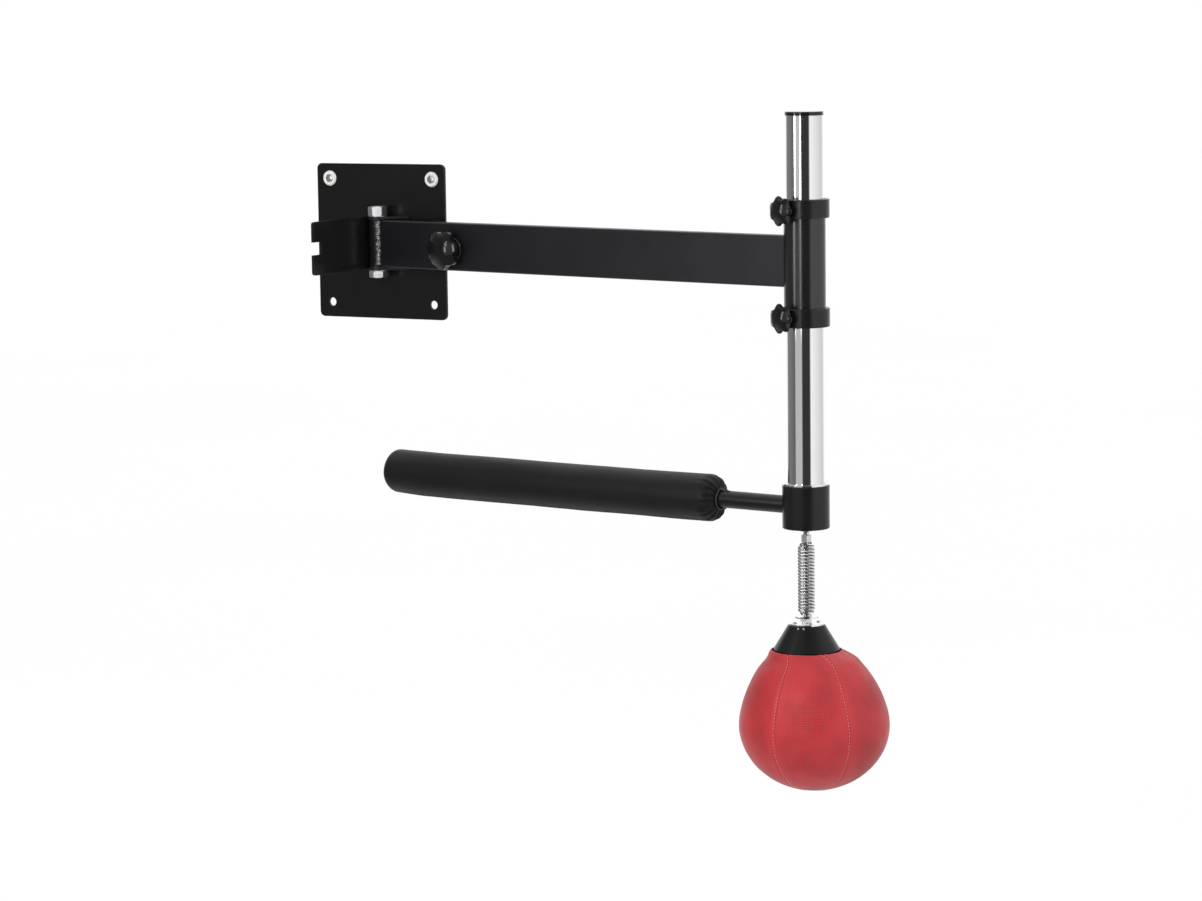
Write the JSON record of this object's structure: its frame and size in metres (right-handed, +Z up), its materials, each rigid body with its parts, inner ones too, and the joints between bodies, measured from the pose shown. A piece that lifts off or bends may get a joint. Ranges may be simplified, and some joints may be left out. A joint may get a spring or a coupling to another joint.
{
  "type": "speed bag platform",
  "caption": "Wall-mounted boxing trainer: a folding arm carries a height-adjustable chrome pole with a spinning padded bar and a spring-hung speed ball.",
  "frame": {"origin": "centre of the wall plate's back face, which lies on the wall", "axes": "+Y into the wall, +X along the wall to the right as seen from the room, +Z up"},
  "size_m": [0.9729, 0.2617, 0.9161],
  "materials": {
    "black_powder": "gloss black powder coat",
    "arm_paint": "satin black powder coat",
    "zinc_steel": "bright zinc",
    "weld_steel": "rough weld bead",
    "chrome": "polished",
    "bearing_steel": "ground",
    "black_plastic": "gloss moulded",
    "nylon": "matt moulded",
    "foam": "closed-cell foam",
    "black_leather": "matt synthetic leather",
    "cord": "braided cord",
    "cone_plastic": "smooth moulded",
    "red_leather": "embossed synthetic leather",
    "bladder_rubber": "smooth"
  },
  "bodies": {
    "wall_mount": {"wall_plate": "black_powder", "wall_cup_washers": "zinc_steel", "wall_screws": "zinc_steel", "hinge_bracket": "black_powder", "stop_wing": "black_powder", "hinge_bolt": "zinc_steel", "hinge_nut": "zinc_steel", "hinge_washers": "zinc_steel", "thrust_washers": "nylon"},
    "arm": {"hinge_barrel": "black_powder", "hinge_welds": "weld_steel", "arm_tube": "arm_paint", "arm_lock_nut": "zinc_steel", "height_sleeve": "black_powder", "upper_collar": "black_powder", "lower_collar": "black_powder", "guide_bushes": "nylon"},
    "lock_seat": {"lock_washer": "chrome"},
    "lock_screw": {"lock_knob": "black_plastic", "lock_stud": "zinc_steel"},
    "upper_pad": {"upper_clamp_pad": "nylon"},
    "upper_screw": {"upper_clamp_knob": "black_plastic", "upper_clamp_stud": "zinc_steel"},
    "lower_pad": {"lower_clamp_pad": "nylon"},
    "lower_screw": {"lower_clamp_knob": "black_plastic", "lower_clamp_stud": "zinc_steel"},
    "pole": {"pole_tube": "chrome", "pole_cap": "black_plastic", "pole_axle": "bearing_steel", "bearing_inner_rings": "bearing_steel", "bearing_balls": "bearing_steel", "bearing_spacer": "bearing_steel", "axle_nut": "zinc_steel", "spring_top_nut": "zinc_steel"},
    "spinner": {"hub": "black_powder", "hub_cover_ring": "chrome", "hub_bottom_cover": "black_powder", "bearing_outer_rings": "bearing_steel", "bar_rod": "black_powder", "bar_end_plug": "nylon", "roll_foam": "foam", "roll_cover": "black_leather", "roll_draw_cord": "cord"},
    "spring": {"coil_spring": "chrome"},
    "ball": {"spring_washer": "chrome", "spring_lower_nut": "zinc_steel", "ball_stud": "zinc_steel", "ball_disc": "chrome", "disc_screws": "zinc_steel", "ball_cone": "cone_plastic", "cone_rivets": "zinc_steel", "cone_nut": "zinc_steel", "ball_cover": "red_leather", "ball_bladder": "bladder_rubber"}
  },
  "joints": [
    {"name": "arm_swing", "type": "hinge", "parent": "wall_mount", "child": "arm", "pos_m": [0.008, -0.0265, 0], "axis": [0, 0, 1], "range_deg": [-62, 4]},
    {"name": "lock_travel", "type": "slide", "parent": "arm", "child": "lock_seat", "axis": [-0.1736, -0.9848, 0], "range_m": [0, 0.005]},
    {"name": "lock_turn", "type": "hinge", "parent": "lock_seat", "child": "lock_screw", "pos_m": [0.1485, -0.09352, -0.005], "axis": [-0.1736, -0.9848, 0], "range_deg": [0, 1440]},
    {"name": "upper_clamp_travel", "type": "slide", "parent": "arm", "child": "upper_pad", "axis": [-0.342, -0.9397, 0], "range_m": [0, 0.003]},
    {"name": "upper_clamp_turn", "type": "hinge", "parent": "upper_pad", "child": "upper_screw", "pos_m": [0.74671, -0.19675, 0.068], "axis": [-0.342, -0.9397, 0], "range_deg": [0, 864]},
    {"name": "lower_clamp_travel", "type": "slide", "parent": "arm", "child": "lower_pad", "axis": [-0.342, -0.9397, 0], "range_m": [0, 0.003]},
    {"name": "lower_clamp_turn", "type": "hinge", "parent": "lower_pad", "child": "lower_screw", "pos_m": [0.74671, -0.19675, -0.0745], "axis": [-0.342, -0.9397, 0], "range_deg": [0, 864]},
    {"name": "pole_slide", "type": "slide", "parent": "arm", "child": "pole", "axis": [0, 0, 1], "range_m": [-0.1, 0.2]},
    {"name": "bar_spin", "type": "hinge", "parent": "pole", "child": "spinner", "pos_m": [0.76039, -0.15917, -0.3298], "axis": [0, 0, 1], "continuous": true},
    {"name": "ball_tilt_upper", "type": "hinge", "parent": "pole", "child": "spring", "pos_m": [0.76039, -0.15917, -0.4044], "axis": [1, 0, 0], "range_deg": [-40, 40], "stiffness_Nm_per_rad": 6, "deforming": ["coil_spring"]},
    {"name": "ball_tilt_lower", "type": "hinge", "parent": "spring", "child": "ball", "pos_m": [0.76039, -0.15917, -0.4535], "axis": [0, 1, 0], "range_deg": [-40, 40], "stiffness_Nm_per_rad": 6}
  ],
  "couplings": [
    {"joint": "lock_travel", "follows": "lock_turn", "m_per_rad": 0.0001989},
    {"joint": "upper_clamp_travel", "follows": "upper_clamp_turn", "m_per_rad": 0.0001989},
    {"joint": "lower_clamp_travel", "follows": "lower_clamp_turn", "m_per_rad": 0.0001989}
  ]
}
